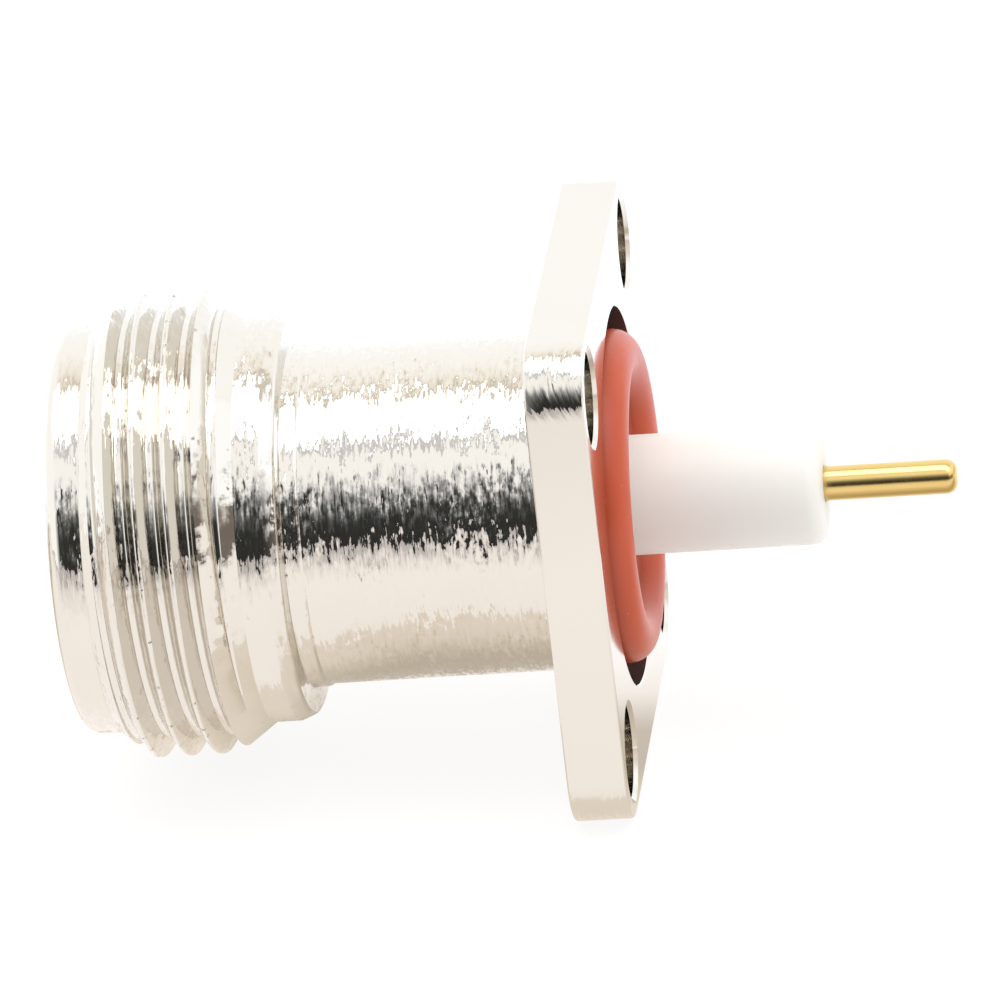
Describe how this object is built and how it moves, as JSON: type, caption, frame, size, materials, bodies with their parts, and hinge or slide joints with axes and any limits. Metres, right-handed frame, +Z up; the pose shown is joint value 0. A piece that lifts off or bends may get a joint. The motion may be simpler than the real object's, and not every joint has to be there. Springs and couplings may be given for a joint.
{
  "type": "n type connector",
  "caption": "Panel-mount coaxial jack with a square four-hole flange, threaded coupling end, sealing ring, extended dielectric and solder pin.",
  "frame": {"origin": "centre of the flange's panel face, on the connector axis", "axes": "+X along the connector axis from the mating end to the solder pin, +Z up, flange sides along Y and Z"},
  "size_m": [0.03, 0.0174, 0.0174],
  "materials": {
    "nickel": "bright nickel plate over turned brass",
    "fluoropolymer": "white, slightly translucent, turned",
    "gold": "bright gold plate",
    "silicone": "matt brick-red silicone rubber"
  },
  "bodies": {
    "root": {"body": "nickel", "dielectric": "fluoropolymer", "contact": "gold", "seal_ring": "silicone"}
  },
  "joints": []
}
